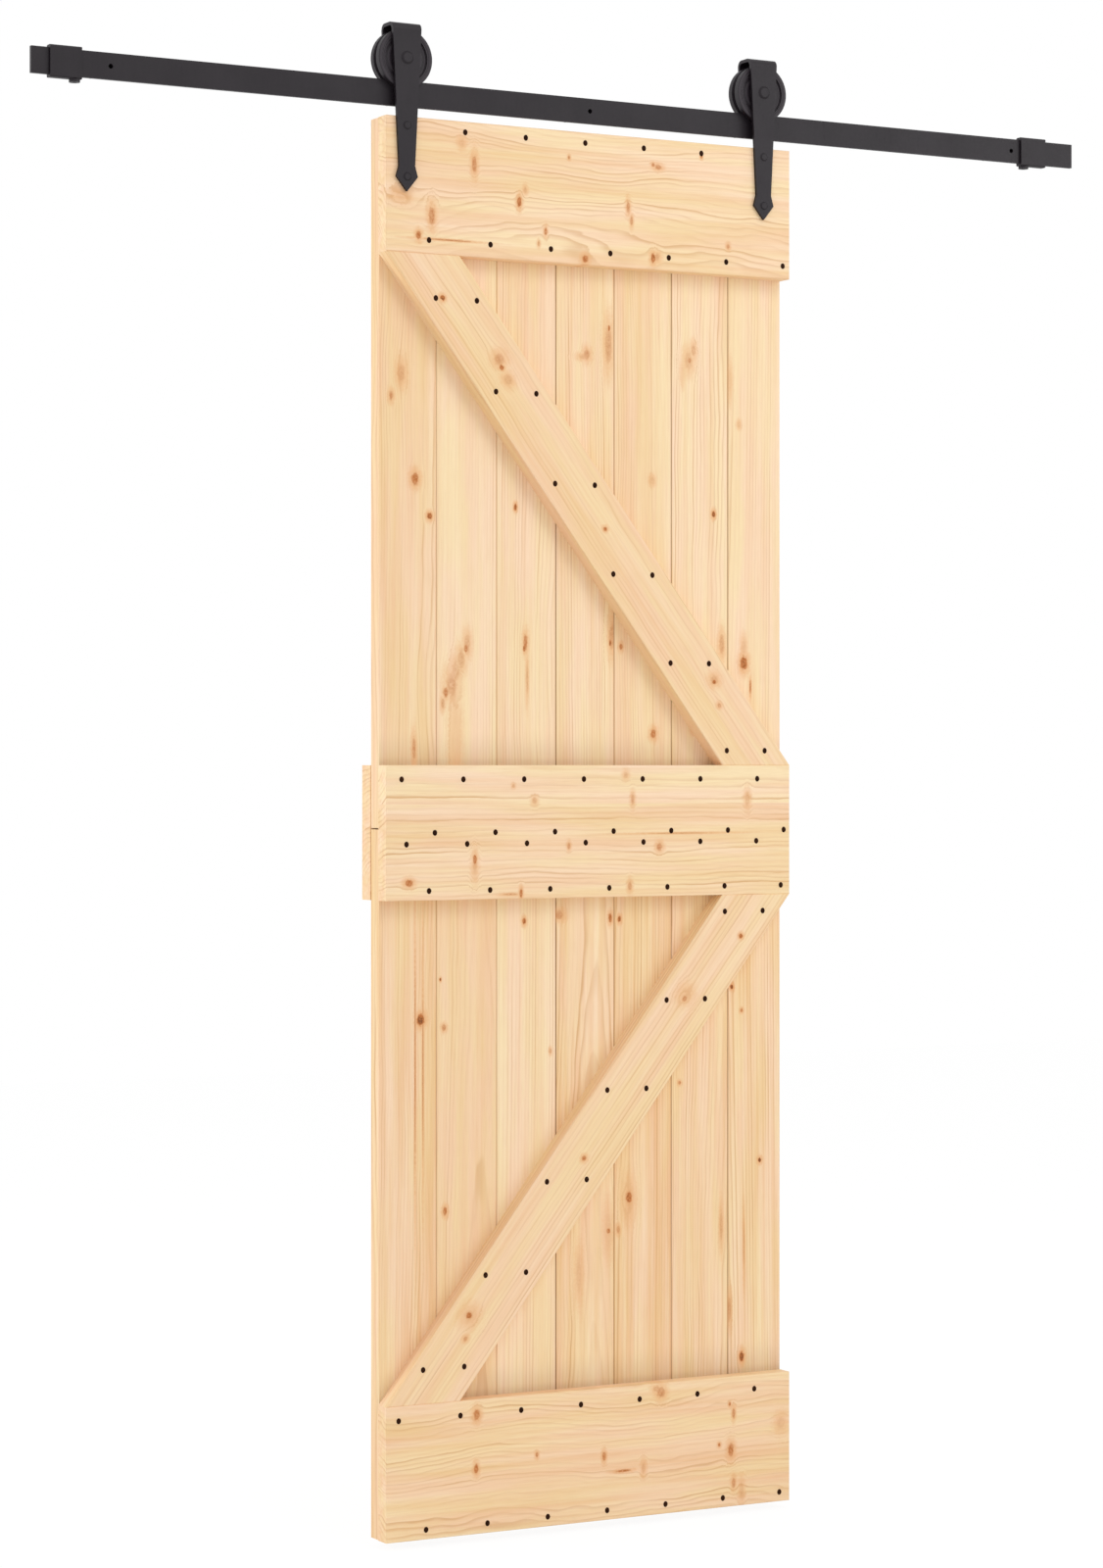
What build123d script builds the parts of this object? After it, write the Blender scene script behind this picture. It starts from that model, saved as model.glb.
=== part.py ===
from build123d import *
import math
import os

# The leaf's outside size and the thickness of its three layers
door_width = 700.0
door_height = 2100.0
front_rail_thickness = 27.0
board_thickness = 27.0
back_rail_thickness = 27.0

# The three level rails, as wide boards laid across the leaf
top_rail_width = 200.0
middle_rail_width = 200.0
middle_rail_below_seam = 105.0
bottom_rail_width = 200.0
rail_arris = 1.0

# The two slanting braces between the rails
brace_width = 96.5

# The upright boards, seven in the lower half and seven in the upper
board_count = 7
board_cover_width = 101.5
board_inset = 1.5
board_arris = 1.5
tongue_length = 8.0
tongue_thickness = 7.0
tongue_side_clearance = 0.15
tongue_end_clearance = 0.5
lower_half_height = 1049.0
half_seam_gap = 2.0

# The flat steel track and how far the leaf hangs below it
track_length = 1800.0
track_height = 38.0
track_thickness = 6.0
track_to_leaf_gap = 16.0
wall_clearance = 9.0

# The spacers that hold the track off the wall, and the holes for the wall bolts
end_hole_from_end = 120.0
inner_hole_from_leaf_edge = 45.0
spacer_radius = 5.5
wall_bolt_hole_radius = 3.5

# The end stops, clamps bent round the track, each with a socket screw from below
stop_length = 48.0
stop_thickness = 4.0
stop_back_return = 9.0
stop_corner_radius = 2.5
left_stop_from_end = 27.0
right_stop_from_end = 55.0
stop_screw_inset = 9.0
stop_screw_head_radius = 8.0
stop_screw_head_height = 4.0
stop_screw_socket_radius = 3.0
stop_screw_socket_depth = 2.5

# The wheels that run on the track's top edge
tread_radius = 31.5
flange_depth = 12.5
groove_side_clearance = 1.0
rim_width = 8.0
face_recess = 2.5
rolling_clearance = 0.2
wheel_side_clearance = 1.0
bearing_clearance = 0.05

# The hanger straps, bent over the wheels and pointed like an arrow
strap_thickness = 5.0
strap_top_width = 48.0
strap_neck_width = 26.0
arrow_width = 35.0
arrow_point_length = 21.5
arrow_shoulder_length = 16.0
strap_on_leaf = 111.0
hanger_gap = 29.0
bend_inside_radius = 6.0
wheel_head_clearance = 3.5
left_hanger_inset = 32.0
right_hanger_inset = 50.0

# The axle bolts, and the coach screws that hold the straps to the leaf
axle_radius = 5.0
axle_head_radius = 10.0
axle_head_height = 3.0
axle_nut_flats = 17.0
axle_nut_height = 8.0
axle_thread_end = 3.0
strap_screw_radius = 4.0
strap_screw_length = 45.0
strap_screw_head_radius = 6.5
strap_screw_head_height = 2.0
upper_strap_screw_below_top = 14.0
bolt_hole_clearance = 0.25
nut_thread_clearance = 0.05

# Depths: the wall is the plane y = 0 and all of the door is in front of it
leaf_back_y = -wall_clearance
boards_back_y = leaf_back_y - back_rail_thickness
boards_front_y = boards_back_y - board_thickness
leaf_front_y = boards_front_y - front_rail_thickness
wheel_middle_y = leaf_front_y + hanger_gap / 2
track_front_y = wheel_middle_y - track_thickness / 2
track_back_y = wheel_middle_y + track_thickness / 2
strap_front_y = leaf_front_y - strap_thickness
strap_rear_leg_y = leaf_front_y + hanger_gap
strap_back_y = strap_rear_leg_y + strap_thickness
strap_screw_end_y = strap_front_y + strap_screw_length

# Heights: the middle line of the track is z = 0
track_top_z = track_height / 2
track_foot_z = -track_height / 2
flange_radius = tread_radius + flange_depth
axle_z = track_top_z + rolling_clearance + tread_radius
strap_top_z = axle_z + flange_radius + wheel_head_clearance + strap_thickness
leaf_top_z = track_foot_z - track_to_leaf_gap
leaf_foot_z = leaf_top_z - door_height
strap_tip_z = leaf_top_z - strap_on_leaf
arrow_wide_z = strap_tip_z + arrow_point_length
strap_neck_z = arrow_wide_z + arrow_shoulder_length
strap_screw_heights = (leaf_top_z - upper_strap_screw_below_top, arrow_wide_z)
top_rail_z = leaf_top_z - top_rail_width
lower_half_top_z = leaf_foot_z + lower_half_height
middle_rail_z = lower_half_top_z - middle_rail_below_seam
middle_rail_top_z = middle_rail_z + middle_rail_width
bottom_rail_top_z = leaf_foot_z + bottom_rail_width
upper_half_foot_z = lower_half_top_z + half_seam_gap

# Places along the track: the leaf hangs at its middle, x = 0
leaf_left_x = -door_width / 2
leaf_right_x = door_width / 2
track_left_x = -track_length / 2
track_right_x = track_length / 2
hanger_places = {
    "left": leaf_left_x + left_hanger_inset,
    "right": leaf_right_x - right_hanger_inset,
}


def block(x_low, x_high, y_low, y_high, z_low, z_high):
    """A box between its lowest and its highest corner."""
    solid = Box(x_high - x_low, y_high - y_low, z_high - z_low, align=Align.MIN)
    return Pos(x_low, y_low, z_low) * solid


def front_plate(points, y_low, y_high):
    """An outline of (x, z) points seen from the front, as thick as y_low to y_high."""
    outline = Plane.XZ * make_face(Polyline(*points, close=True))
    return Pos(0, y_low, 0) * extrude(outline, y_high - y_low, dir=(0, 1, 0))


def rod_along_y(radius, x, z, y_low, y_high):
    """A round rod or hole that runs from front to back."""
    return Pos(x, y_low, z) * Rot(X=-90) * Cylinder(
        radius, y_high - y_low, align=(Align.CENTER, Align.CENTER, Align.MIN)
    )


def eased_front(solid):
    """The solid with the edges round its front face planed off at 45 degrees."""
    front_face = solid.faces().sort_by(Axis.Y)[0]
    return chamfer(front_face.edges(), rail_arris)


def low_head_bolt(head_radius, head_height, shank_radius, shank_length):
    """A bolt along +Y with a low head bevelled at 45 degrees. The head seats at y = 0."""
    half_outline = Polyline(
        (0, -head_height),
        (head_radius - head_height, -head_height),
        (head_radius, 0),
        (shank_radius, 0),
        (shank_radius, shank_length),
        (0, shank_length),
        close=True,
    )
    return revolve(make_face(half_outline), Axis.Y)


def hex_nut(flats, height, bolt_radius):
    """A six-sided nut along +Y that starts at y = 0."""
    body = extrude(RegularPolygon(flats / 2, 6, major_radius=False), height)
    nut = Rot(X=-90) * body
    return nut - rod_along_y(bolt_radius + nut_thread_clearance, 0, 0, 0, height)


def strap_screw_places():
    """Two screws on the middle line of each hanger."""
    return [(x, z) for x in hanger_places.values() for z in strap_screw_heights]


def strap_screw_holes():
    """The bored holes for the strap screws, through the top rail and into the boards."""
    return [
        rod_along_y(strap_screw_radius, x, z, leaf_front_y, strap_screw_end_y)
        for x, z in strap_screw_places()
    ]


def make_track_rail():
    """Flat bar on edge, with a row of bolt holes along its middle line."""
    rail = block(track_left_x, track_right_x, track_front_y, track_back_y, track_foot_z, track_top_z)
    for x in spacer_places():
        rail -= rod_along_y(wall_bolt_hole_radius, x, 0, track_front_y, track_back_y)
    return rail


def spacer_places():
    """Places of the spacers: at the middle, near each hanger of the closed door, and near each end."""
    inner_x = door_width / 2 - inner_hole_from_leaf_edge
    outer_x = track_length / 2 - end_hole_from_end
    return [-outer_x, -inner_x, 0.0, inner_x, outer_x]


def make_spacers():
    """Tubes between the track's back and the wall, one round each wall bolt."""
    return Compound([
        rod_along_y(spacer_radius, x, 0, track_back_y, 0)
        - rod_along_y(wall_bolt_hole_radius, x, 0, track_back_y, 0)
        for x in spacer_places()
    ])


def make_end_stop(x_low, screw_x):
    """Strip bent round the track into a C, open at the back, with its screw's head underneath."""
    length = stop_length
    y_low = track_front_y - stop_thickness
    y_high = track_back_y + stop_thickness
    z_high = track_top_z + stop_thickness
    outside = block(x_low, x_low + length, y_low, y_high, -z_high, z_high)
    outside = fillet(outside.edges().filter_by(Axis.X), stop_corner_radius)
    inside = block(x_low, x_low + length, track_front_y, track_back_y, track_foot_z, track_top_z)
    mouth_z = track_top_z - stop_back_return
    mouth = block(x_low, x_low + length, track_back_y, y_high, -mouth_z, mouth_z)
    centred_down = (Align.CENTER, Align.CENTER, Align.MAX)
    head = Cylinder(stop_screw_head_radius, stop_screw_head_height, align=centred_down)
    socket = extrude(RegularPolygon(stop_screw_socket_radius, 6), stop_screw_socket_depth)
    head -= Pos(0, 0, -stop_screw_head_height) * socket
    return outside - inside - mouth + Pos(screw_x, wheel_middle_y, -z_high) * head


def make_board(index, z_low, z_high):
    """Upright board seen from above, with a tongue on its right edge and a groove in its left."""
    panel_width = door_width - 2 * board_inset
    outer_cover = (panel_width - (board_count - 2) * board_cover_width) / 2
    x_low = leaf_left_x + board_inset
    if index > 0:
        x_low += outer_cover + (index - 1) * board_cover_width
    x_high = x_low + board_cover_width
    if index in (0, board_count - 1):
        x_high = x_low + outer_cover

    middle_y = (boards_front_y + boards_back_y) / 2
    half_tongue = tongue_thickness / 2
    half_groove = half_tongue + tongue_side_clearance
    groove_x = x_low + tongue_length + tongue_end_clearance
    left_edge = [(x_low, boards_back_y), (x_low, boards_front_y)]
    right_edge = [(x_high, boards_front_y), (x_high, boards_back_y)]
    if index > 0:
        left_edge = [
            (x_low + board_arris, boards_back_y),
            (x_low, boards_back_y - board_arris),
            (x_low, middle_y + half_groove),
            (groove_x, middle_y + half_groove),
            (groove_x, middle_y - half_groove),
            (x_low, middle_y - half_groove),
            (x_low, boards_front_y + board_arris),
            (x_low + board_arris, boards_front_y),
        ]
    if index < board_count - 1:
        right_edge = [
            (x_high - board_arris, boards_front_y),
            (x_high, boards_front_y + board_arris),
            (x_high, middle_y - half_tongue),
            (x_high + tongue_length, middle_y - half_tongue),
            (x_high + tongue_length, middle_y + half_tongue),
            (x_high, middle_y + half_tongue),
            (x_high, boards_back_y - board_arris),
            (x_high - board_arris, boards_back_y),
        ]
    plan = make_face(Polyline(*left_edge, *right_edge, close=True))
    return Pos(0, 0, z_low) * extrude(plan, z_high - z_low, dir=(0, 0, 1))


def make_front_rail(z_low, z_high):
    """Level rail across the front of the leaf."""
    return eased_front(block(leaf_left_x, leaf_right_x, leaf_front_y, boards_front_y, z_low, z_high))


def make_back_rail():
    """Level rail across the back, which ties the two halves of the leaf together."""
    return block(
        leaf_left_x, leaf_right_x, boards_back_y, leaf_back_y, middle_rail_z, middle_rail_top_z
    )


def brace_end_length(height):
    """Length of a brace's level cut, where the brace fills the opening from corner to corner.

    The long edge leans by (door_width - end) across for the height up, and the brace's own
    width is the level cut times the sine of that slope, which makes a quadratic in the cut.
    """
    width_squared = brace_width**2
    root = math.sqrt(
        width_squared * door_width**2
        + (height**2 - width_squared) * (door_width**2 + height**2)
    )
    return brace_width * (root - brace_width * door_width) / (height**2 - width_squared)


def make_brace(z_low, z_high, leans_right_to_foot):
    """Slanting board between two rails, with level cuts at both ends."""
    end = brace_end_length(z_high - z_low)
    top_x = leaf_left_x if leans_right_to_foot else leaf_right_x - end
    foot_x = leaf_right_x - end if leans_right_to_foot else leaf_left_x
    outline = [(top_x, z_high), (top_x + end, z_high), (foot_x + end, z_low), (foot_x, z_low)]
    return eased_front(front_plate(outline, leaf_front_y, boards_front_y))


def strap_half_width(z):
    """Half the strap's width, which narrows evenly from its top to the neck of the arrow."""
    share = (strap_top_z - z) / (strap_top_z - strap_neck_z)
    return (strap_top_width + (strap_neck_width - strap_top_width) * share) / 2


def side_rectangle(y_low, y_high, z_low, z_high, corner_radius):
    """A rectangle seen from the side, with its two upper corners rounded."""
    outline = Pos(y_low, z_low) * Rectangle(y_high - y_low, z_high - z_low, align=Align.MIN)
    outline = fillet(outline.vertices().group_by(Axis.Y)[-1], corner_radius)
    return Plane.YZ * outline


def make_hanger(x):
    """Flat strap bent over the wheel: long tapered front leg with an arrow point, short rear leg."""
    outside = side_rectangle(
        strap_front_y, strap_back_y, strap_tip_z, strap_top_z, bend_inside_radius + strap_thickness
    )
    inside = side_rectangle(
        leaf_front_y, strap_rear_leg_y, strap_tip_z, strap_top_z - strap_thickness, bend_inside_radius
    )
    strip = extrude(outside - inside, strap_top_width / 2, both=True)
    outline = front_plate(
        [
            (-strap_top_width / 2, strap_top_z),
            (-strap_neck_width / 2, strap_neck_z),
            (-arrow_width / 2, arrow_wide_z),
            (0, strap_tip_z),
            (arrow_width / 2, arrow_wide_z),
            (strap_neck_width / 2, strap_neck_z),
            (strap_top_width / 2, strap_top_z),
        ],
        strap_front_y,
        strap_back_y,
    )
    half = strap_top_width / 2
    below_axle = block(-half, half, strap_rear_leg_y, strap_back_y, strap_tip_z, axle_z)
    round_end = rod_along_y(strap_half_width(axle_z), 0, axle_z, strap_rear_leg_y, strap_back_y)
    strap = (strip & outline) - (below_axle - round_end)
    strap -= rod_along_y(axle_radius + bolt_hole_clearance, 0, axle_z, strap_front_y, strap_back_y)
    for z in strap_screw_heights:
        strap -= rod_along_y(strap_screw_radius + bolt_hole_clearance, 0, z, strap_front_y, leaf_front_y)
    return Pos(x, 0, 0) * strap


def make_wheel(x):
    """Grooved wheel turned from its section, with a rim that stands proud of its front face."""
    groove_y = track_thickness / 2 + groove_side_clearance
    side_y = hanger_gap / 2 - wheel_side_clearance
    bore_radius = axle_radius + bearing_clearance
    rim_inside_radius = flange_radius - rim_width
    section = make_face(
        Polyline(
            (bore_radius, side_y),
            (flange_radius, side_y),
            (flange_radius, groove_y),
            (tread_radius, groove_y),
            (tread_radius, -groove_y),
            (flange_radius, -groove_y),
            (flange_radius, -side_y),
            (rim_inside_radius, -side_y),
            (rim_inside_radius, face_recess - side_y),
            (bore_radius, face_recess - side_y),
            close=True,
        )
    )
    return Pos(x, wheel_middle_y, axle_z) * revolve(section, Axis.Y)


def make_axles():
    """Bolts through both legs of each hanger, on which the wheels turn."""
    length = strap_back_y - strap_front_y + axle_nut_height + axle_thread_end
    bolt = low_head_bolt(axle_head_radius, axle_head_height, axle_radius, length)
    return Compound([Pos(x, strap_front_y, axle_z) * bolt for x in hanger_places.values()])


def make_axle_nuts():
    """Nuts against the rear legs of the hangers."""
    nut = hex_nut(axle_nut_flats, axle_nut_height, axle_radius)
    return Compound([Pos(x, strap_back_y, axle_z) * nut for x in hanger_places.values()])


def make_strap_screws():
    """Coach screws through the straps into the leaf."""
    screw = low_head_bolt(
        strap_screw_head_radius, strap_screw_head_height, strap_screw_radius, strap_screw_length
    )
    return Compound([Pos(x, strap_front_y, z) * screw for x, z in strap_screw_places()])


os.makedirs("parts", exist_ok=True)


def write(name, shape):
    export_step(shape, "parts/" + name + ".step")


# The track with its spacers and end stops
write("track_rail", make_track_rail())
write("rail_spacers", make_spacers())

left_stop_x = track_left_x + left_stop_from_end
right_stop_x = track_right_x - right_stop_from_end - stop_length
stop_places = {
    "left": (left_stop_x, left_stop_x + stop_length - stop_screw_inset),
    "right": (right_stop_x, right_stop_x + stop_screw_inset),
}
for side, (stop_x, screw_x) in stop_places.items():
    write(f"end_stop_{side}", make_end_stop(stop_x, screw_x))

# The leaf
screw_holes = strap_screw_holes()
for index in range(board_count):
    write(f"board_lower_{index + 1}", make_board(index, leaf_foot_z, lower_half_top_z))
    upper_board = make_board(index, upper_half_foot_z, leaf_top_z)
    for hole in screw_holes:
        upper_board -= hole
    write(f"board_upper_{index + 1}", upper_board)

top_rail = make_front_rail(top_rail_z, leaf_top_z)
for hole in screw_holes:
    top_rail -= hole
write("top_rail", top_rail)
write("middle_rail_front", make_front_rail(middle_rail_z, middle_rail_top_z))
write("middle_rail_back", make_back_rail())
write("bottom_rail", make_front_rail(leaf_foot_z, bottom_rail_top_z))
write("upper_brace", make_brace(middle_rail_top_z, top_rail_z, True))
write("lower_brace", make_brace(bottom_rail_top_z, middle_rail_z, False))

# The hangers, their wheels and their bolts
for side, place in hanger_places.items():
    write(f"hanger_{side}", make_hanger(place))
    write(f"wheel_{side}", make_wheel(place))
write("axles", make_axles())
write("axle_nuts", make_axle_nuts())
write("strap_screws", make_strap_screws())
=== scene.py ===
import math

import bpy
import numpy as np
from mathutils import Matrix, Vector


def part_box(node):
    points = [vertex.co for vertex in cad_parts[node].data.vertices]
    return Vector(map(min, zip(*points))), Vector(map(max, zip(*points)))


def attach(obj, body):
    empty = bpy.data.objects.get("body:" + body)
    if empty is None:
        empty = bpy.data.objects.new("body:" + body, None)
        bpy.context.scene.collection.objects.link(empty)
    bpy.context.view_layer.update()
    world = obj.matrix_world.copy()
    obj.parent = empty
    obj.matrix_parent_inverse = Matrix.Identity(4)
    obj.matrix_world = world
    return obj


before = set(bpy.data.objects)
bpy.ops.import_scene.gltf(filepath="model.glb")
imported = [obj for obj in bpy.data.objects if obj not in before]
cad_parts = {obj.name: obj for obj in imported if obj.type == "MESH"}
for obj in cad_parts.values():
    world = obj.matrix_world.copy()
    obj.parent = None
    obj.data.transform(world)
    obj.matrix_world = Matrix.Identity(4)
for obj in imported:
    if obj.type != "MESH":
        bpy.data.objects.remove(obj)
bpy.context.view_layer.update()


# ---- The track ----
# A flat mild steel bar on edge, held off the wall by five round spacers, with a bent clamp near
# each end that stops the wheels. It all has a fine matt black powder coat, which the wheels have
# rubbed through along the top edge of the bar.


class Wire:
    """A socket among a material's nodes. Sums and products of wires add Math nodes."""

    def __init__(self, tree, socket=None):
        self.tree = tree
        self.socket = socket

    def node(self, kind, settings=None, inputs=None, output=0):
        """Adds a node of any kind: its settings first, then the value or wire of each input."""
        made = self.tree.nodes.new(kind)
        for name, value in (settings or {}).items():
            setattr(made, name, value)
        for name, value in (inputs or {}).items():
            if isinstance(value, Wire):
                self.tree.links.new(value.socket, made.inputs[name])
            else:
                made.inputs[name].default_value = value
        return Wire(self.tree, made.outputs[output]) if len(made.outputs) else None

    def math(self, operation, *values):
        """Math on the values, each a number or a wire."""
        return self.node("ShaderNodeMath", {"operation": operation}, dict(enumerate(values)))

    def vector(self, operation, *values, output="Vector"):
        """Vector Math on this wire and the values."""
        inputs = dict(enumerate((self, *values)))
        return self.node("ShaderNodeVectorMath", {"operation": operation}, inputs, output)

    def __add__(self, other):
        return self.math("ADD", self, other)

    def __sub__(self, other):
        return self.math("SUBTRACT", self, other)

    def __mul__(self, other):
        return self.math("MULTIPLY", self, other)

    def __truediv__(self, other):
        return self.math("DIVIDE", self, other)

    __radd__ = __add__

    def split(self):
        """The three parts of a vector."""
        return [self.node("ShaderNodeSeparateXYZ", None, {0: self}, i) for i in range(3)]

    def scaled(self, factor):
        """This vector times a wire."""
        return self.node("ShaderNodeVectorMath", {"operation": "SCALE"}, {0: self, 3: factor})

    def length(self):
        """How long this vector is."""
        return self.vector("LENGTH", output="Value")

    def fade(self, start, stop, low=0.0, high=1.0):
        """Goes smoothly from low to high as this wire goes from start to stop."""
        ends = {"Value": self, "From Min": start, "From Max": stop, "To Min": low, "To Max": high}
        return self.node("ShaderNodeMapRange", {"interpolation_type": "SMOOTHSTEP"}, ends)

    def noise(self, scale, detail=2.0, roughness=0.5):
        """Soft noise over this place, from 0 to 1."""
        inputs = {"Vector": self, "Scale": scale, "Detail": detail, "Roughness": roughness}
        return self.node("ShaderNodeTexNoise", None, inputs)

    def mix(self, low, high):
        """A colour that goes from low to high as this wire goes from 0 to 1."""
        return self.node("ShaderNodeMix", {"data_type": "RGBA"}, {0: self, 6: low, 7: high}, 2)


def new_finish(name):
    """An empty material, and the wire of the place on the piece, from which its nodes start."""
    material = bpy.data.materials.new(name)
    material.use_nodes = True
    material.node_tree.nodes.clear()
    return material, Wire(material.node_tree).node("ShaderNodeTexCoord", output="Object")


def close_finish(place, inputs):
    """Puts the surface's values into a Principled shader, and that into the material."""
    surface = place.node("ShaderNodeBsdfPrincipled", None, inputs)
    place.node("ShaderNodeOutputMaterial", None, {"Surface": surface})


def dress(node, material):
    """Gives a CAD piece its finish."""
    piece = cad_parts[node]
    if not piece.material_slots:
        piece.data.materials.append(None)
    for holder in piece.material_slots:
        holder.link = "OBJECT"
        holder.material = material


coat_black = (0.0070, 0.0034, 0.0068, 1.0)
coat_grey = (0.0128, 0.0086, 0.0125, 1.0)
coat_gloss = 0.36
coat_bump_strength = 0.35
peel_depth = 0.00012
# ridge_highlight_grey and ridge_highlight_share colour the turned ridges on the wheels lighter, a
# painted highlight.
ridge_highlight_grey = (0.032, 0.024, 0.031, 1.0)
ridge_highlight_share = 0.8
ridge_height = 9.0
bare_steel = (0.42, 0.41, 0.40, 1.0)
bare_steel_polish = 0.2


def black_steel(name, rubbed=None, relief=None, dark=coat_black, light=coat_grey, gloss=coat_gloss):
    """Powder coat: a near black whose tone drifts slowly, over a fine orange-peel bump.

    rubbed takes the place on the piece and gives a mask of where the coat is worn to bare steel;
    relief takes it too, and gives the height of what is turned into the steel, and the ridges are
    also coloured lighter there, a painted highlight.
    """
    material, place = new_finish(name)
    drift = place.noise(14.0, 3.0)
    peel = place.noise(900.0)
    scuffs = place.vector("MULTIPLY", (1.0, 1.0, 0.25)).noise(160.0, 4.0, 0.6)
    colour = (drift * 0.7 + scuffs * 0.3).fade(0.3, 0.7).mix(dark, light)
    roughness = peel.fade(0.25, 0.75, 0.46, 0.56) + scuffs.fade(0.55, 0.75, 0.0, 0.08)
    height = peel
    inputs = {"Specular IOR Level": gloss}
    if rubbed:
        worn = rubbed(place) * scuffs.fade(0.35, 0.6)
        inputs["Metallic"] = worn
        colour = worn.mix(colour, bare_steel)
        roughness = roughness - worn * bare_steel_polish
    if relief:
        raised = relief(place)
        height = peel + raised * ridge_height
        # The ridges are coloured lighter: a painted highlight on the turned rings, which also
        # paints light over the shaded recess wall.
        colour = (raised * ridge_highlight_share).mix(colour, ridge_highlight_grey)
    bump = {"Height": height, "Strength": coat_bump_strength, "Distance": peel_depth}
    inputs["Normal"] = place.node("ShaderNodeBump", None, bump)
    inputs["Base Color"] = colour
    inputs["Roughness"] = roughness
    close_finish(place, inputs)
    return material


rail_low, rail_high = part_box("track_rail")
rolled_half_width = 0.0024
rolled_depths = (0.0004, 0.0001)


def rolled_line(place):
    """The line that the wheels have rubbed along the bar's top edge."""
    _, y, z = place.split()
    off_middle = place.math("ABSOLUTE", y - (rail_low.y + rail_high.y) / 2)
    across = off_middle.fade(rolled_half_width, rolled_half_width * 0.5)
    return z.fade(rail_high.z - rolled_depths[0], rail_high.z - rolled_depths[1]) * across


dress("track_rail", black_steel("black_steel_rail", rolled_line))
plain_black_steel = black_steel("black_steel")
for part_name in ("rail_spacers", "end_stop_left", "end_stop_right"):
    dress(part_name, plain_black_steel)


# ---- The boards ----
# Seven planed pine boards side by side in each half of the leaf, tongued and grooved into each
# other. They are sawn along the trunk, so the grain runs upright, with arches where the saw went
# near the pith, and branches left small brown or orange knots that the grain runs round.

leaf_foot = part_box("board_lower_1")[0].z
leaf_middle_x = (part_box("top_rail")[0].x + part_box("top_rail")[1].x) / 2
pale_wood = (0.98, 0.77, 0.53, 1.0)
warm_wood = (0.87, 0.565, 0.30, 1.0)
pink_tint = (1.0, 0.955, 0.98, 1.0)
yellow_tint = (0.985, 1.0, 0.90, 1.0)
late_wood = (0.66, 0.36, 0.15, 1.0)
wood_gloss = 0.25
wood_bump_strength = 0.3
wood_bump_depth = 0.00025
seed_steps = (1.7, 2.3, 3.1)

halo_wood = (0.81, 0.42, 0.18, 1.0)
orange_knot = (0.52, 0.17, 0.040, 1.0)
brown_knot = (0.21, 0.07, 0.02, 1.0)
knot_raggedness = 1.6
knot_push = 0.8
knot_depth = 10.0
push_reach = (3.6, 0.4)
halo_reach = (2.9, 0.8)
heart_reach = (1.3, 0.65)
halo_share = 0.85

seam_wood = (0.33, 0.19, 0.09, 1.0)
seam_width = 0.0016
# The next three values draw a painted shade on the boards just above each rail, in the corner where
# shade falls: its near black colour, the reach and share of each layer, and the depths over which
# it fades in from the front.
ledge_shade = (0.10, 0.085, 0.07, 1.0)
ledge_shade_layers = ((0.055, 0.18), (0.014, 0.12))
ledge_shade_depths = (0.002, 0.0005)
glue_shift = 0.037
glue_rings = 37.0
glue_paleness = 0.3


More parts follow.
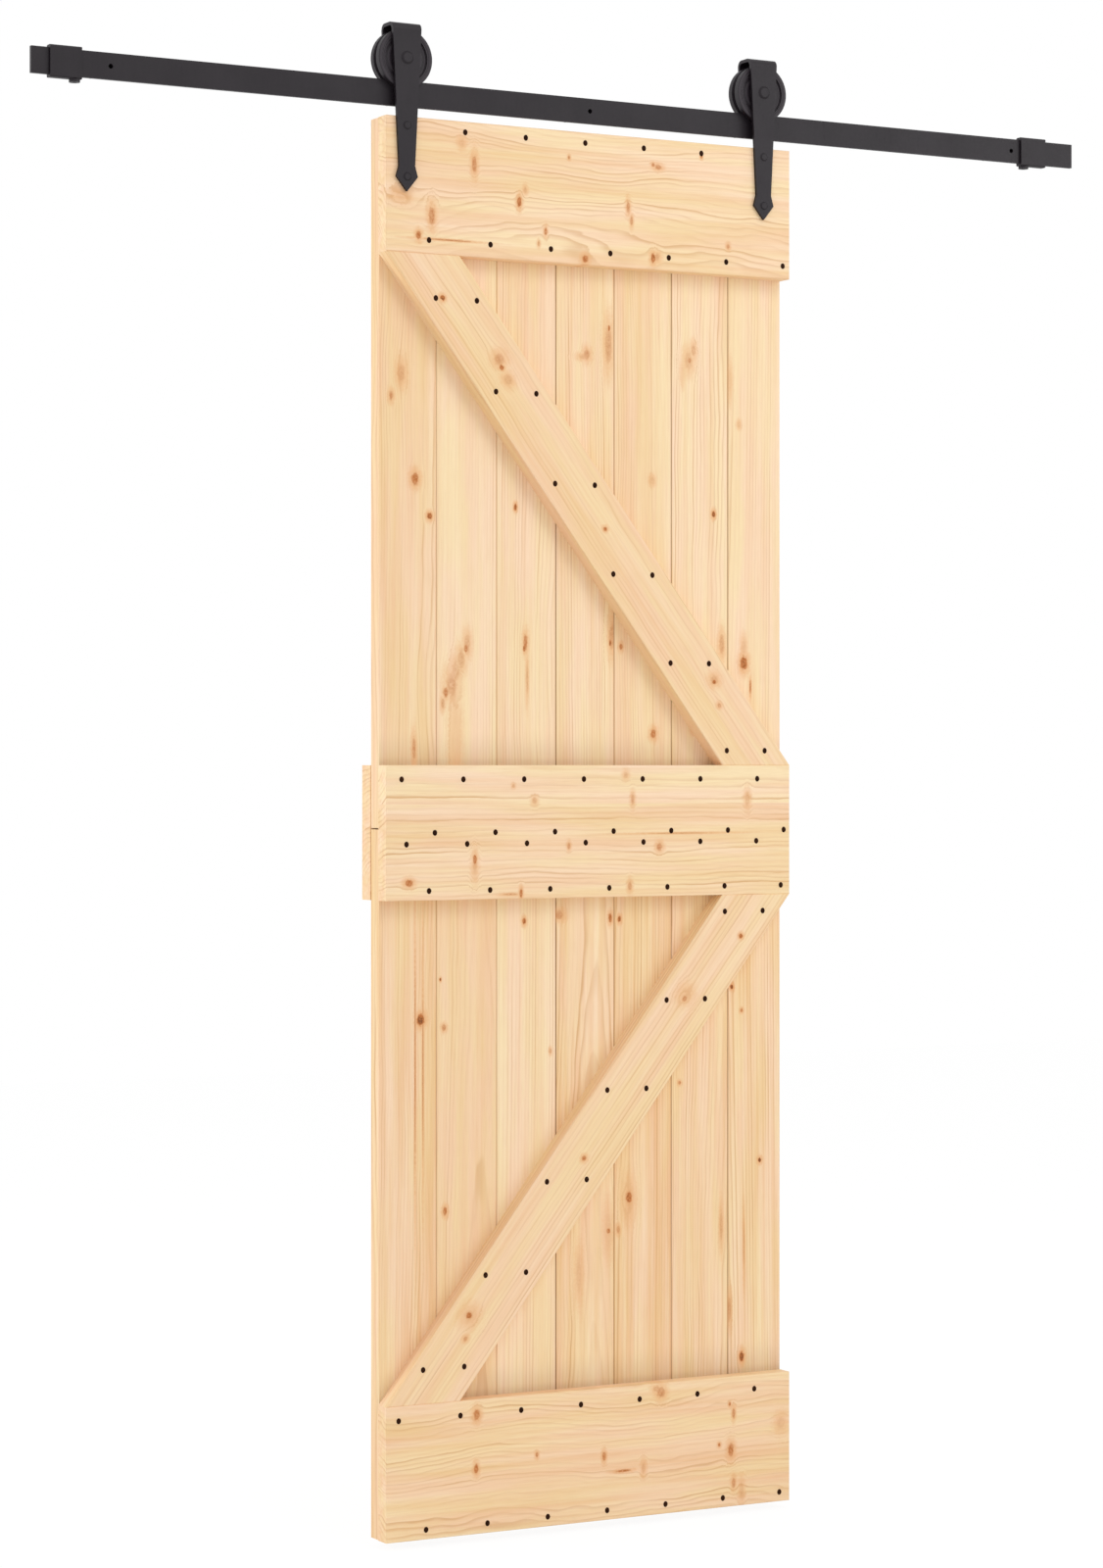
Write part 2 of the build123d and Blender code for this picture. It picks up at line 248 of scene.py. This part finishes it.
def pine(
    node, turn, seed, pith, slope, rings, tone, knots=(), seam=0.0, glue_line=None, ledge=None
):
    """Sawn pine as a cut through growth rings.

    The place is turned about the depth axis until its third part runs along the grain, and is
    counted from the piece's middle. A ring's number is the distance from the pith line over the
    ring width; that line passes the middle at pith = (across, deep), leans by slope, and sways
    by a wave; rings = (ring width, wave). The colour lies between pale and warm wood, and
    tone = (warmth, contrast). Each knot (x, height, half width, half height, darkness), in
    millimetres from the leaf's middle and foot, pushes the grain aside inside an orange halo.
    A seam darkens the left edge, where the board meets its neighbour. Above a glue line the piece
    is another plank, paler and from elsewhere in the trunk. Just above a ledge the front is
    darkened over a few centimetres, a painted shade in the corner over the rail below.
    """
    material, flat_place = new_finish("pine_" + node)
    flat_x, flat_y, flat_z = flat_place.split()
    ring_width, wave = rings
    warmth, contrast = tone
    sine, cosine = math.sin(turn), math.cos(turn)

    def turned(x, z):
        return x * cosine + z * sine, z * cosine - x * sine

    low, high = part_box(node)
    middle = (low + high) / 2
    across_0, along_0 = turned(middle.x, middle.z)
    to_middle = {"Vector": flat_place, "Location": (-across_0, -middle.y, -along_0)}
    to_middle["Rotation"] = (0.0, turn, 0.0)
    place = flat_place.node("ShaderNodeMapping", {"vector_type": "POINT"}, to_middle)
    moved = place.vector("ADD", tuple(seed * step for step in seed_steps))
    plank = 0.0
    if glue_line:
        plank = flat_z.math("GREATER_THAN", flat_z, glue_line)
        moved = moved.vector("ADD", plank * glue_shift)

    def drawn_out(squeeze, scale, detail=2.0, roughness=0.5):
        """Noise whose place is squeezed along the grain, which draws the noise out."""
        return moved.vector("MULTIPLY", (1.0, 1.0, squeeze)).noise(scale, detail, roughness)

    # The knots push the grain aside, and the two outlines of each are a little ragged
    ragged = (moved.noise(260.0, 3.0, 0.65) - 0.5) * knot_raggedness
    bent, halo, heart = place, 0.0, 0.0
    for x, height, half_width, half_height, darkness in knots:
        across, along = turned(leaf_middle_x + x / 1000, leaf_foot + height / 1000)
        half_across = math.hypot(half_width * cosine, half_height * sine) / 1000
        half_along = math.hypot(half_width * sine, half_height * cosine) / 1000
        away = place.vector("SUBTRACT", (across - across_0, 0.0, along - along_0))
        distance = away.vector("DIVIDE", (half_across, knot_depth, half_along)).length() + ragged
        aside = away.vector("MULTIPLY", (knot_push, 0.0, 0.0)).scaled(distance.fade(*push_reach))
        bent = bent.vector("SUBTRACT", aside)
        around = distance.fade(*halo_reach, 0.0, 0.45 + darkness * 0.55)
        halo = place.math("MAXIMUM", halo, around)
        heart = place.math("MAXIMUM", heart, distance.fade(*heart_reach, 0.0, darkness))

    # The rings, wavy over a few centimetres, some darker than others
    across, deep, along = bent.split()
    sway = drawn_out(0.35, 9.0, 3.0) - 0.5
    ripple = drawn_out(0.25, 75.0) - 0.5
    out_across = across - pith[0] + sway * wave + ripple * (wave * 0.1)
    out_deep = deep - pith[1] - along * slope + sway * wave
    radius = place.math("SQRT", out_across * out_across + out_deep * out_deep)
    ring = radius / ring_width + plank * glue_rings
    share = place.math("FRACT", ring)
    number = place.math("FLOOR", ring) + seed
    strength = place.node("ShaderNodeTexWhiteNoise", {"noise_dimensions": "1D"}, {"W": number})
    patchy = drawn_out(0.1, 32.0).fade(0.3, 0.7)
    late = share.fade(0.4, 0.9) * share.fade(1.0, 0.9) * strength.fade(0.0, 1.0, 0.15, 1.0)
    late = late * patchy.fade(0.0, 1.0, 0.3 * contrast, contrast)

    # The tone: bands and streaks along the grain, pinker or yellower in places, and fine fibres
    broad = drawn_out(0.06, 22.0).fade(0.3, 0.7)
    streak = drawn_out(0.025, 120.0, 3.0, 0.6).fade(0.3, 0.7)
    hue = drawn_out(0.12, 38.0).fade(0.3, 0.7)
    fibre = drawn_out(0.02, 1400.0)
    blend = (broad * 0.5 + streak * 0.6 - 0.55) * contrast + warmth - plank * glue_paleness
    colour = blend.mix(pale_wood, warm_wood).vector("MULTIPLY", hue.mix(pink_tint, yellow_tint))
    colour = late.mix(colour, late_wood)
    colour = (fibre.fade(0.45, 0.8) * 0.2).mix(colour, late_wood)
    if seam:
        from_edge = flat_x - low.x
        colour = from_edge.fade(seam_width, seam_width * 0.4, 0.0, seam).mix(colour, seam_wood)
    # Painted shade: just above the ledge the board's front is darkened over a few centimetres, in
    # the corner where the rail stands out.
    if ledge:
        painted_shade = 0.0
        for reach, shade_share in ledge_shade_layers:
            painted_shade = painted_shade + (flat_z - ledge).fade(reach, 0.0) * shade_share
        in_front = flat_y.fade(low.y + ledge_shade_depths[0], low.y + ledge_shade_depths[1])
        colour = (painted_shade * in_front).mix(colour, ledge_shade)
    if knots:
        heart = heart * ragged.fade(-0.3, 0.3, 0.6, 1.1)
        colour = (halo * halo_share).mix(colour, halo_wood)
        colour = heart.fade(0.0, 0.7).mix(colour, orange_knot)
        colour = heart.fade(0.55, 1.0).mix(colour, brown_knot)

    bump = {"Strength": wood_bump_strength, "Distance": wood_bump_depth}
    bump["Height"] = late * 0.5 + fibre * 0.5 + heart
    inputs = {"Base Color": colour, "Specular IOR Level": wood_gloss}
    inputs["Roughness"] = fibre.fade(0.3, 0.7, 0.52, 0.62) - late * 0.08
    inputs["Normal"] = place.node("ShaderNodeBump", None, bump)
    close_finish(place, inputs)
    dress(node, material)


# One row for each board, from the left: seed, where the pith lies, its lean, the warmth and
# contrast of the colour, how dark the seam on its left is, and its knots
upper_boards = [
    (1.0, (0.070, 0.050), 0.012, (0.43, 0.6), 0.0, [
        (-312, 1724, 6, 14, 0.3), (-329, 1690, 3.5, 7, 0.4), (-289, 1569, 6, 9, 0.65),
        (-265, 1514, 4, 5, 0.9), (-291, 1168, 3, 18, 0.4),
    ]),
    (2.0, (-0.090, 0.060), -0.010, (0.08, 0.4), 0.35, [
        (-202, 1325, 5, 14, 0.3), (-204, 1318, 3, 6, 0.6), (-212, 1303, 6, 14, 0.3),
        (-221, 1284, 7, 15, 0.25), (-228, 1263, 9, 17, 0.3), (-238, 1252, 4, 7, 0.55),
        (-243, 1236, 3, 8, 0.35), (-222, 1185, 7, 45, 0.1),
    ]),
    (3.0, (0.080, 0.060), 0.010, (0.28, 0.6), 0.3, [
        (-120, 1532, 2.5, 5, 0.9), (-103, 1329, 3.5, 12, 0.55), (-105, 1320, 2, 5, 0.8),
        (-100, 1275, 2, 24, 0.3),
    ]),
    (4.0, (-0.100, 0.045), 0.014, (0.27, 0.8), 0.85, [
        (3, 1768, 5, 8, 0.4), (-3, 1764, 8, 4, 0.25), (41, 1784, 6, 28, 0.35),
        (42, 1810, 2, 5, 0.65), (47, 1341, 5.5, 20, 0.35), (44, 1330, 2, 5, 0.75),
        (-9, 1469, 3, 5, 0.6),
    ]),
    (5.0, (0.080, 0.040), -0.016, (0.33, 0.6), 0.5, [
        (63, 1325, 3, 5, 0.6), (120, 1192, 5, 7, 0.6), (118, 1581, 4, 6, 0.2),
    ]),
    (6.0, (0.090, 0.070), 0.010, (0.12, 0.7), 0.7, [
        (183, 1768, 7, 14, 0.25), (185, 1768, 3, 4, 0.5), (192, 1784, 4, 10, 0.3),
        (172, 1748, 3, 14, 0.1), (228, 1532, 3, 5, 0.95), (243, 1332, 4.5, 15, 0.35),
        (190, 1206, 3.5, 8, 0.45),
    ]),
    (7.0, (-0.080, 0.055), -0.014, (0.14, 0.5), 0.7, [
        (274, 1673, 3, 5, 0.2), (283, 1303, 6, 11, 0.8), (283, 1328, 4, 12, 0.2),
        (295, 1266, 1.5, 11, 0.6), (258, 1740, 3, 20, 0.15),
    ]),
]
lower_boards = [
    (8.0, (0.090, 0.045), 0.010, (0.57, 0.9), 0.0, [
        (-280, 766, 6, 8, 0.95), (-289, 700, 1.2, 160, 0.5), (-276, 690, 1.2, 120, 0.45),
    ]),
    (9.0, (0.020, 0.030), 0.026, (0.53, 0.5), 0.35, [
        (-247, 825, 1.5, 2.5, 0.95), (-241, 753, 3.5, 4.5, 0.5), (-239, 480, 3.5, 6, 0.65),
    ]),
    (10.0, (-0.085, 0.055), -0.010, (0.14, 0.5), 0.3, [
        (-105, 909, 3, 5, 0.75), (-60, 712, 2, 4, 0.4),
    ]),
    (11.0, (0.012, 0.036), 0.022, (0.42, 0.9), 0.95, [
        (-45, 917, 7, 7, 0.4), (-46, 579, 2.5, 4, 0.6), (-11, 372, 5, 30, 0.2),
        (41, 434, 3, 4, 0.65), (41, 434, 6, 28, 0.15), (44, 911, 3, 7, 0.7),
    ]),
    (12.0, (-0.090, 0.060), -0.012, (0.6, 0.9), 0.5, [
        (60, 909, 3, 5, 0.75), (77, 483, 5, 9, 0.8), (77, 478, 8, 22, 0.15), (58, 435, 3, 6, 0.4),
    ]),
    (13.0, (0.060, 0.040), 0.014, (0.42, 0.8), 0.5, [
        (167, 655, 2.5, 3, 0.5), (140, 245, 4, 26, 0.25), (242, 429, 3, 24, 0.3),
    ]),
    (14.0, (-0.080, 0.050), 0.016, (0.44, 0.9), 0.7, [
        (261, 800, 3, 4, 0.9), (279, 763, 2.5, 3, 0.55), (312, 529, 3, 4, 0.95),
        (279, 225, 4, 8, 0.95), (257, 300, 3, 20, 0.35), (283, 400, 1.5, 40, 0.3),
    ]),
]
upright = 0.0
board_rings = (0.0042, 0.014)
upper_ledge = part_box("middle_rail_front")[1].z
lower_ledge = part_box("bottom_rail")[1].z
halves = (("upper", upper_boards, upper_ledge), ("lower", lower_boards, lower_ledge))
for half, rows, ledge in halves:
    for number, (seed, pith, slope, tone, seam, knots) in enumerate(rows, start=1):
        name = f"board_{half}_{number}"
        pine(name, upright, seed, pith, slope, board_rings, tone, knots, seam, ledge=ledge)


# ---- The rails ----
# Four wide pine boards laid level across the leaf, three in front and one behind the middle one.
# Their grain runs level and wavy, and at their ends the cut rings show. The middle one is glued
# up from two planks. All are nailed to the boards, and the top one also takes the hangers' screws.

level = -math.pi / 2
rail_rings = (0.0068, 0.05)
middle_glue_line = leaf_foot + 1.086
pine("top_rail", level, 21.0, (0.110, 0.050), 0.012, rail_rings, (0.36, 0.75), [
    (-204, 2038, 4, 13, 0.5), (-225, 2068, 5, 6, 0.2), (-128, 1987, 3.5, 8, 0.8),
    (-118, 2006, 3, 5, 0.25), (113, 2057, 6, 4, 0.45), (104, 2060, 3, 3, 0.5),
    (60, 1993, 3, 9, 0.45), (66, 1972, 2.5, 7, 0.45), (-275, 1956, 5, 13, 0.5),
    (-297, 1926, 4, 6, 0.7), (-245, 1922, 40, 1.4, 0.5), (-43, 2060, 2, 3, 0.5),
    (-83, 1946, 2.5, 6, 0.6), (-95, 1927, 2, 4, 0.4), (-15, 1909, 5, 6, 0.65),
    (104, 1918, 4, 7, 0.75), (111, 1920, 5, 6, 0.3), (190, 2079, 2, 3, 0.6),
    (238, 1944, 3, 4, 0.4), (-325, 1985, 10, 8, 0.15),
])
pine("middle_rail_front", level, 22.0, (-0.110, 0.040), -0.010, rail_rings, (0.34, 0.8), [
    (-102, 1091, 4, 5, 0.3), (56, 1129, 4, 5, 0.25), (68, 1092, 3, 8, 0.35),
    (273, 1091, 4, 10, 0.25), (-138, 1113, 2.5, 3, 0.3), (-203, 1004, 3, 8, 0.7),
    (-203, 994, 4, 14, 0.2), (115, 1019, 5, 6, 0.45), (-43, 1022, 2.5, 5, 0.45),
    (-313, 970, 6, 5, 0.7), (-125, 952, 2.5, 7, 0.7), (-143, 951, 12, 1.6, 0.4),
    (63, 960, 3.5, 7, 0.4), (150, 1040, 60, 1.2, 0.35),
], glue_line=middle_glue_line)
pine("middle_rail_back", level, 23.0, (0.090, -0.030), 0.012, rail_rings, (0.36, 0.8), [
    (-180, 1060, 5, 8, 0.6), (140, 1000, 4, 8, 0.6), (20, 985, 3, 5, 0.4),
])
pine("bottom_rail", level, 27.0, (0.130, 0.035), 0.014, rail_rings, (0.45, 0.72), [
    (-200, 178, 5, 8, 0.6), (-201, 97, 3.5, 7, 0.7), (18, 97, 3, 7, 0.6),
    (-98, 109, 2.5, 4, 0.5), (118, 186, 7, 8, 0.45), (110, 192, 6, 4, 0.35),
    (248, 144, 2.5, 8, 0.55), (241, 158, 2, 3, 0.6), (243, 87, 5, 10, 0.6),
    (222, 97, 2.5, 3, 0.6), (52, 72, 13, 2, 0.6), (87, 73, 3.5, 9, 0.25),
    (248, 36, 3.5, 8, 0.45), (262, 24, 4, 12, 0.2), (334, 122, 8, 10, 0.2),
])


# ---- The braces ----
# A slanting pine board in each half of the leaf, cut level at both ends to fit between the
# rails. The two meet at the leaf's right edge, and stop the leaf from sagging out of square.

upper_brace_lean = math.radians(37.4)
lower_brace_lean = math.radians(-37.8)
brace_rings = (0.0055, 0.016)
pine("upper_brace", upper_brace_lean, 31.0, (0.090, 0.045), 0.008, brace_rings, (0.47, 0.5), [
    (-257, 1836, 3, 5, 0.9), (-162, 1750, 7, 10, 0.35), (-158, 1738, 3, 5, 0.7),
    (-147, 1720, 3.5, 10, 0.3), (20, 1502, 2.5, 4, 0.65), (213, 1275, 6, 8, 0.3),
    (213, 1272, 3, 4, 0.75), (222, 1236, 3, 4, 0.4),
])
pine("lower_brace", lower_brace_lean, 32.0, (-0.090, 0.050), -0.010, brace_rings, (0.40, 0.6), [
    (261, 880, 3, 4, 0.85), (160, 786, 3.5, 5, 0.5), (162, 792, 7, 12, 0.15),
    (-17, 550, 3, 5, 0.55), (-213, 326, 4, 6, 0.7), (-213, 326, 9, 12, 0.15),
    (-219, 292, 2.5, 5, 0.35),
])


# ---- The nails ----
# Round-headed black iron nails that hold the rails and braces to the boards. They stand in level
# rows of seven along the rails, five between the hangers' straps, and in pairs down each brace,
# driven until the heads seat.

nail_head_size = (0.0038, 0.0045)
nail_head_height = 0.0014
nail_head_sides = 14
nail_shank_depth = 0.0008
nail_black = (0.016, 0.004, 0.001, 1.0)
nail_brown = (0.034, 0.011, 0.003, 1.0)
nail_gloss = 0.06
half_leaf_width = 350.0
leaf_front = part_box("top_rail")[0].y
nail_steel = black_steel("black_steel_nails", dark=nail_black, light=nail_brown, gloss=nail_gloss)


def nail_heads(name, places):
    """Domed heads at (x, height) places on the leaf's front, in millimetres.

    The width and height are half the head's size times the sine of an angle that goes from 0 at
    the crown to a right angle at the rim, and the bulge is its cosine; under the rim a straight
    collar goes into the wood and closes in a flat end.
    """
    places = np.array(places) / 1000 + (leaf_middle_x, leaf_foot)
    rise = np.radians([0.0, 25.0, 50.0, 70.0, 90.0])
    radii = np.concatenate([np.sin(rise), [1.0, 0.0]])
    depths = np.concatenate([-np.cos(rise) * nail_head_height, [nail_shank_depth] * 2])
    around = np.linspace(0.0, 2 * np.pi, nail_head_sides, endpoint=False)
    rings = radii[1:-1, None]
    ring_x = (rings * np.cos(around)).ravel() * nail_head_size[0]
    ring_z = (rings * np.sin(around)).ravel() * nail_head_size[1]
    ring_y = np.repeat(depths[1:-1], nail_head_sides)
    x = np.concatenate([[0.0], ring_x, [0.0]]) + places[:, :1]
    z = np.concatenate([[0.0], ring_z, [0.0]]) + places[:, 1:]
    y = np.concatenate([depths[:1], ring_y, depths[-1:]]) + np.full_like(x, leaf_front)
    points = np.stack([x, y, z], axis=-1)

    last = x.shape[1] - 1
    here = np.arange(nail_head_sides)
    after = (here + 1) % nail_head_sides
    start = 1 + np.arange(len(radii) - 3)[:, None] * nail_head_sides
    below = start + nail_head_sides
    sides = np.stack([start + here, start + after, below + after, below + here], -1)
    rim = last - nail_head_sides
    crown = np.stack([here * 0, after + 1, here + 1], -1)
    end = np.stack([here * 0 + last, rim + here, rim + after], -1)
    first = np.arange(len(places))[:, None, None] * (last + 1)
    quads = (sides.reshape(-1, 4) + first).reshape(-1, 4)
    corners = (np.concatenate([crown, end]) + first).reshape(-1, 3)
    mesh = bpy.data.meshes.new(name)
    mesh.from_pydata(points.reshape(-1, 3).tolist(), [], quads.tolist() + corners.tolist())
    mesh.materials.append(nail_steel)
    mesh.shade_smooth()
    piece = bpy.data.objects.new(name, mesh)
    bpy.context.scene.collection.objects.link(piece)
    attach(piece, "door")


def nail_row(first_x, last_x, count, height):
    """Evenly spaced places in one level row, whose x counts from the leaf's left edge."""
    x = np.linspace(first_x, last_x, count)
    return np.stack([x - half_leaf_width, np.full(count, height)], axis=-1)


def nail_pairs(first, last, apart, count):
    """Pairs side by side, from one end of a brace to the other, counted as in nail_row."""
    left = np.linspace(first, last, count) - (half_leaf_width, 0.0)
    return np.concatenate([left, left + (apart, 0.0)])


nail_heads("nails_top_rail", np.concatenate([
    nail_row(130.8, 539.9, 5, 2084.0), nail_row(70.4, 687.4, 7, 1920.0),
]))
nail_heads("nails_middle_rail", np.concatenate([
    nail_row(25.1, 640.8, 7, 1123.0), nail_row(80.1, 689.2, 7, 1044.0),
    nail_row(33.1, 639.0, 7, 1027.0), nail_row(70.4, 683.8, 7, 958.0),
]))
nail_heads("nails_bottom_rail", np.concatenate([
    nail_row(20.2, 635.4, 7, 178.5), nail_row(65.5, 681.1, 7, 14.5),
]))
nail_heads("nails_upper_brace", nail_pairs((81.7, 1835.0), (585.7, 1166.5), 68.6, 6))
nail_heads("nails_lower_brace", nail_pairs((582.2, 918.6), (60.6, 250.8), 68.5, 6))


# ---- The hangers and wheels ----
# Two flat steel straps, bent over the wheels at the top and cut to an arrow point at the foot,
# each held to the leaf by two screws. A turned steel wheel runs on a bolt between the two legs
# of each, with a groove that keeps it on the track, rubbed bright where it rolls.

tread_radius = 0.0315
tread_half_width = 0.0036
tread_depths = (0.0008, 0.0002)
# Radius and half width of each ridge on a wheel's faces. Each ridge is also coloured lighter, a
# painted highlight, and the one at 36.6 mm lies on the recess wall and paints light over its shade
turned_rings = [
    (0.0408, 0.0030), (0.0366, 0.0010), (0.0330, 0.0018), (0.0258, 0.0030), (0.0180, 0.0025),
]


def from_axle(place, node):
    """The way from a wheel's middle to a place on it, and the distance from its axis."""
    low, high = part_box(node)
    away = place.vector("SUBTRACT", tuple((low + high) / 2))
    return away, away.vector("MULTIPLY", (1.0, 0.0, 1.0)).length()


def rolled_tread(node):
    """The mask of a wheel's tread: near the tread's radius, between the flanges."""

    def worn(place):
        away, radius = from_axle(place, node)
        off_middle = place.math("ABSOLUTE", away.split()[1])
        across = off_middle.fade(tread_half_width, tread_half_width * 0.7)
        ends = [tread_radius + depth for depth in tread_depths]
        return radius.fade(*ends) * across

    return worn


# The same ridges are coloured lighter in black_steel, a painted highlight.
def turned_face(node):
    """The height of the round ridges turned on a wheel's faces, 1 along the top of each."""

    def raised(place):
        _, radius = from_axle(place, node)
        ridges = 0.0
        for ridge_radius, half_width in turned_rings:
            off_ridge = place.math("ABSOLUTE", radius - ridge_radius)
            ridges = ridges + off_ridge.fade(half_width, half_width * 0.3)
        return ridges

    return raised


for side in ("left", "right"):
    dress(f"hanger_{side}", plain_black_steel)
    wheel = f"wheel_{side}"
    dress(wheel, black_steel("black_steel_" + wheel, rolled_tread(wheel), turned_face(wheel)))
for part_name in ("axles", "axle_nuts", "strap_screws"):
    dress(part_name, plain_black_steel)


# ---- The studio ----
# A white floor just under the leaf and a white room all round, with three large soft lamps: high
# in front, on the front right, and behind on the left. The camera stands level, in front and to
# the left.

floor_drop = 0.012
floor_half_size = 8.0
floor_paint = (0.92, 0.92, 0.92, 1.0)
floor_glow = 0.9
floor_whiteness = 1.03

floor_z = leaf_foot - floor_drop
corners = np.array([(-1, -1), (1, -1), (1, 1), (-1, 1)]) * floor_half_size
floor_mesh = bpy.data.meshes.new("floor")
floor_mesh.from_pydata([(x, y, floor_z) for x, y in corners.tolist()], [], [(0, 1, 2, 3)])
floor = bpy.data.objects.new("floor", floor_mesh)
bpy.context.scene.collection.objects.link(floor)


def seen_directly(start):
    """1 for rays from the camera, a mirror or glass, which see the white of the room."""
    kinds = ("Is Camera Ray", "Is Glossy Ray", "Is Transmission Ray")
    rays = [start.node("ShaderNodeLightPath", output=kind) for kind in kinds]
    return start.math("MAXIMUM", start.math("MAXIMUM", rays[0], rays[1]), rays[2])


floor_material, floor_place = new_finish("floor_white")
painted = floor_place.node("ShaderNodeBsdfDiffuse", None, {"Color": floor_paint})
glowing = floor_place.node("ShaderNodeEmission", None, {"Strength": floor_whiteness})
share = seen_directly(floor_place) * floor_glow
blend = floor_place.node("ShaderNodeMixShader", None, {0: share, 1: painted, 2: glowing})
floor_place.node("ShaderNodeOutputMaterial", None, {"Surface": blend})
floor_mesh.materials.append(floor_material)

room_white = (1.0, 1.0, 1.0, 1.0)
room_light = 0.73
world = bpy.data.worlds.new("room")
bpy.context.scene.world = world
world.use_nodes = True
world.node_tree.nodes.clear()
room = Wire(world.node_tree)
level_of_white = seen_directly(room) * (1.0 - room_light) + room_light
white = {"Color": room_white, "Strength": level_of_white}
background = room.node("ShaderNodeBackground", None, white)
room.node("ShaderNodeOutputWorld", None, {"Surface": background})

leaf_centre = Vector((0.0, leaf_front, (leaf_foot + rail_high.z) / 2))


def soft_lamp(name, place, size, power):
    """A square lamp that faces the middle of the leaf."""
    light = bpy.data.lights.new(name, "AREA")
    light.size = size
    light.energy = power
    lamp = bpy.data.objects.new(name, light)
    lamp.location = place
    lamp.rotation_euler = (leaf_centre - Vector(place)).to_track_quat("-Z", "Y").to_euler()
    bpy.context.scene.collection.objects.link(lamp)


soft_lamp("lamp_front", (0.6, -4.4, 3.4), 2.2, 55.0)
soft_lamp("lamp_right", (3.9, -3.7, 0.9), 2.4, 50.0)
soft_lamp("lamp_left", (-4.6, 1.6, 0.2), 2.5, 70.0)

camera_place = (-2.8619, -5.1624, -0.9913)
camera_faces = (0.4818, 0.8763, 0.0)
camera_lens = 88.38
camera_sensor = 36.0
camera_shift = -19.0 / 1600.0
camera_data = bpy.data.cameras.new("camera")
camera_data.lens = camera_lens
camera_data.sensor_width = camera_sensor
camera_data.shift_y = camera_shift
camera = bpy.data.objects.new("camera", camera_data)
camera.location = camera_place
camera.rotation_euler = Vector(camera_faces).to_track_quat("-Z", "Y").to_euler()
bpy.context.scene.collection.objects.link(camera)
bpy.context.scene.camera = camera
bpy.context.scene.view_settings.view_transform = "Standard"
